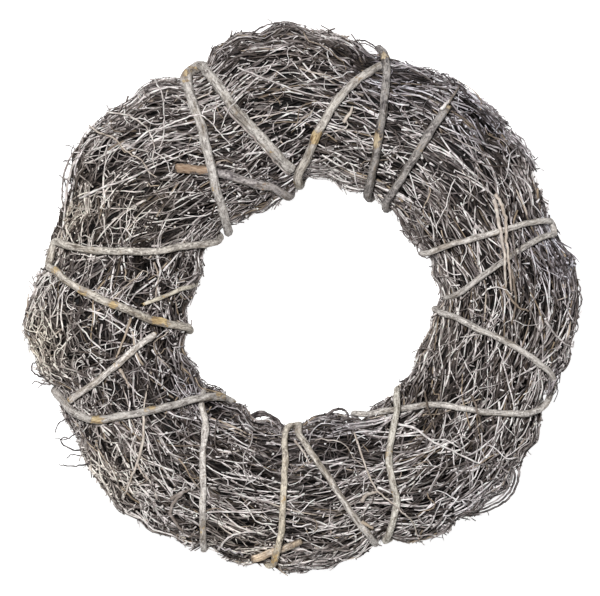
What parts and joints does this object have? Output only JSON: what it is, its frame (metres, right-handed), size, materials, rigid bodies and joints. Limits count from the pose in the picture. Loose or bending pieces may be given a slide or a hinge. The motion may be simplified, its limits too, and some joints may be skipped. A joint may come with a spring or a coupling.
{
  "type": "twig wreath",
  "caption": "Round wreath of fine brushwood twigs bent into a ring and bound with thicker bent rods, lying on its back.",
  "frame": {"origin": "middle of the bounding box, on the surface the wreath lies on", "axes": "+Z out of the wreath's front face, +Y towards its top as it hangs, +X to the right seen from the front"},
  "size_m": [0.4027, 0.3968, 0.0827],
  "materials": {
    "brushwood": "fine weathered twigs, grey-brown, matt",
    "pale_bark": "weathered pale grey bark, matt",
    "grey_bark": "purple-grey bark, matt",
    "orange_bark": "peeled, orange-brown inner bark, matt",
    "cream_bark": "yellowish cream bark, matt"
  },
  "bodies": {
    "root": {"bunch_01": "brushwood", "bunch_02": "brushwood", "bunch_03": "brushwood", "bunch_04": "brushwood", "bunch_05": "brushwood", "bunch_06": "brushwood", "bunch_07": "brushwood", "bunch_08": "brushwood", "bunch_09": "brushwood", "bunch_10": "brushwood", "bunch_11": "brushwood", "bunch_12": "brushwood", "rod_upper_left_hairpin": "pale_bark", "rod_peeled_stub": "orange_bark", "rod_top_left": "pale_bark", "rod_top_right": "grey_bark", "rod_broken": "grey_bark", "rod_right_hairpin": "pale_bark", "rod_lower_right": "pale_bark", "rod_bottom_right": "cream_bark", "rod_bottom_hairpin": "cream_bark", "rod_bottom_stub": "orange_bark", "rod_bottom_left": "pale_bark", "rod_frayed": "pale_bark", "rod_left_short": "grey_bark", "rod_left_hairpin": "pale_bark", "rod_thin": "grey_bark"}
  },
  "joints": []
}
